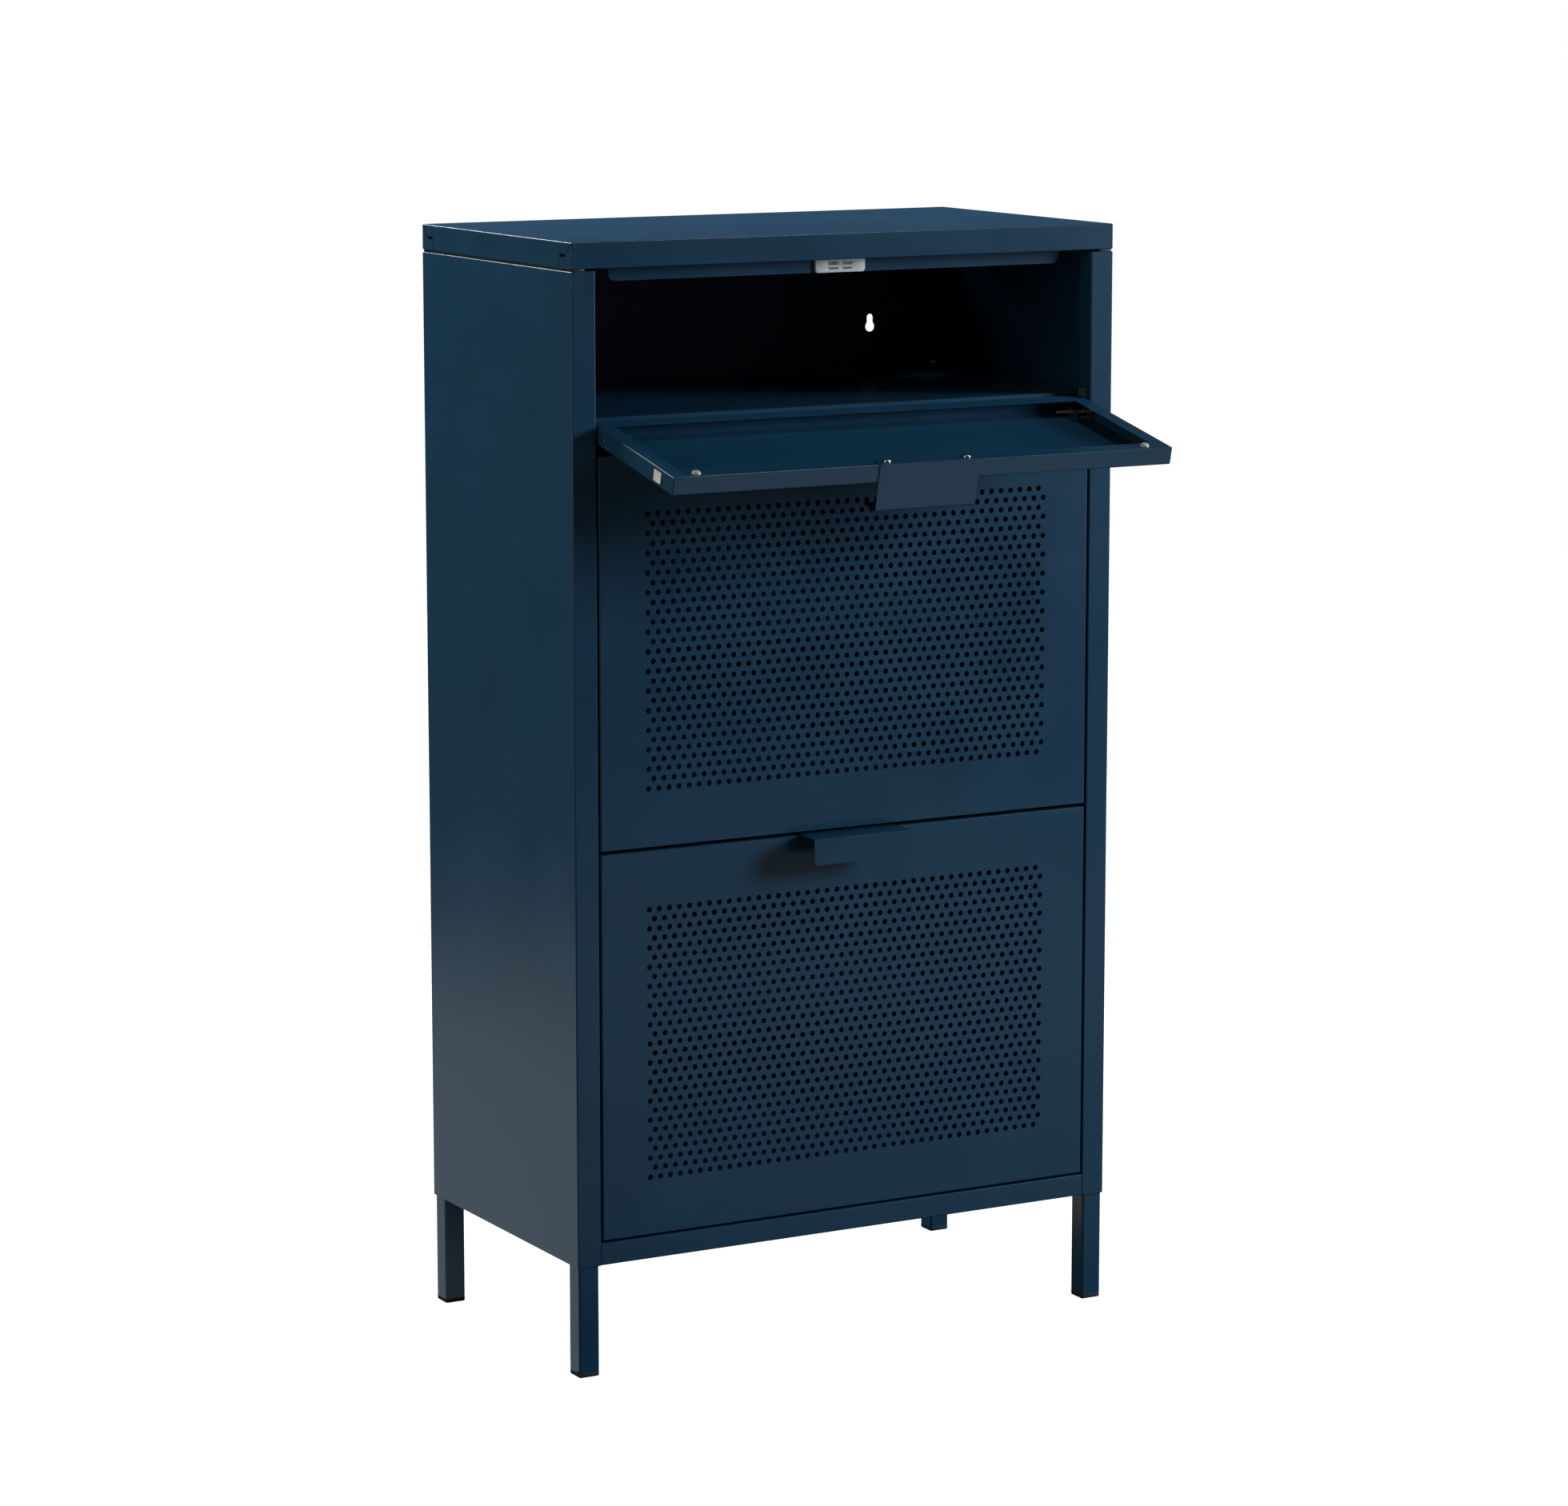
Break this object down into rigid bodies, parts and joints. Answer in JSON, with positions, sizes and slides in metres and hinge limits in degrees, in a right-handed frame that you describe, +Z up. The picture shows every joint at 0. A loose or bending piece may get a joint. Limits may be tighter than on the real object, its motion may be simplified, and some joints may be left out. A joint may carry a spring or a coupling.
{
  "type": "shoe cabinet",
  "caption": "Tall folded-steel shoe cabinet on square legs: drop-down flap compartment above perforated tilt-out doors with tab pulls and shoe racks.",
  "frame": {"origin": "on the floor, midway between the side faces and midway between the front of the stiles and the back of the back panel", "axes": "+Z up, +X to the right seen from the front, -Y out of the front, where the flap and doors open"},
  "size_m": [0.55, 0.4419, 1.0055],
  "materials": {
    "navy_powder_coat": "satin powder coat on folded steel sheet",
    "bright_steel": "zinc-plated steel",
    "white_plastic": "moulded",
    "grey_plastic": "moulded",
    "black_plastic": "moulded",
    "clear_rubber": "soft clear dome"
  },
  "bodies": {
    "cabinet": {"back_panel": "navy_powder_coat", "back_screws": "bright_steel", "bottom_panel": "navy_powder_coat", "catch_body_lower": "white_plastic", "catch_body_top": "white_plastic", "catch_body_upper": "white_plastic", "catch_poles_lower": "bright_steel", "catch_poles_top": "bright_steel", "catch_poles_upper": "bright_steel", "leg_cap_front_left": "black_plastic", "leg_cap_front_right": "black_plastic", "leg_cap_rear_left": "black_plastic", "leg_cap_rear_right": "black_plastic", "leg_front_left": "navy_powder_coat", "leg_front_right": "navy_powder_coat", "leg_rear_left": "navy_powder_coat", "leg_rear_right": "navy_powder_coat", "leg_screws": "bright_steel", "lower_channel": "navy_powder_coat", "shelf": "navy_powder_coat", "shelf_clip_left": "grey_plastic", "shelf_clip_right": "grey_plastic", "side_panel_left": "navy_powder_coat", "side_panel_right": "navy_powder_coat", "top_panel": "navy_powder_coat", "top_rivets": "navy_powder_coat", "top_stop_rail": "navy_powder_coat", "upper_channel": "navy_powder_coat"},
    "flap": {"flap_bracket_left": "navy_powder_coat", "flap_bracket_right": "navy_powder_coat", "flap_bumper_left": "clear_rubber", "flap_bumper_right": "clear_rubber", "flap_handle": "navy_powder_coat", "flap_handle_screws": "bright_steel", "flap_pad_left": "white_plastic", "flap_pad_right": "white_plastic", "flap_pan": "navy_powder_coat", "flap_pin_left": "bright_steel", "flap_pin_right": "bright_steel", "flap_spring_left": "bright_steel", "flap_spring_right": "bright_steel"},
    "lower_door": {"lower_door_handle": "navy_powder_coat", "lower_door_handle_screws": "bright_steel", "lower_door_pan": "navy_powder_coat", "lower_door_pin_left": "bright_steel", "lower_door_pin_right": "bright_steel", "lower_rack_cheek_left": "navy_powder_coat", "lower_rack_cheek_right": "navy_powder_coat", "lower_rack_tray_high": "navy_powder_coat", "lower_rack_tray_low": "navy_powder_coat"},
    "upper_door": {"upper_door_handle": "navy_powder_coat", "upper_door_handle_screws": "bright_steel", "upper_door_pan": "navy_powder_coat", "upper_door_pin_left": "bright_steel", "upper_door_pin_right": "bright_steel", "upper_rack_cheek_left": "navy_powder_coat", "upper_rack_cheek_right": "navy_powder_coat", "upper_rack_tray_high": "navy_powder_coat", "upper_rack_tray_low": "navy_powder_coat"}
  },
  "joints": [
    {"name": "flap_hinge", "type": "hinge", "parent": "cabinet", "child": "flap", "pos_m": [0, -0.1455, 0.836], "axis": [-1, 0, 0], "range_deg": [0, 102.4]},
    {"name": "lower_door_tilt", "type": "hinge", "parent": "cabinet", "child": "lower_door", "pos_m": [0, -0.145, 0.131], "axis": [1, 0, 0], "range_deg": [0, 45]},
    {"name": "upper_door_tilt", "type": "hinge", "parent": "cabinet", "child": "upper_door", "pos_m": [0, -0.145, 0.4815], "axis": [1, 0, 0], "range_deg": [0, 14]}
  ]
}
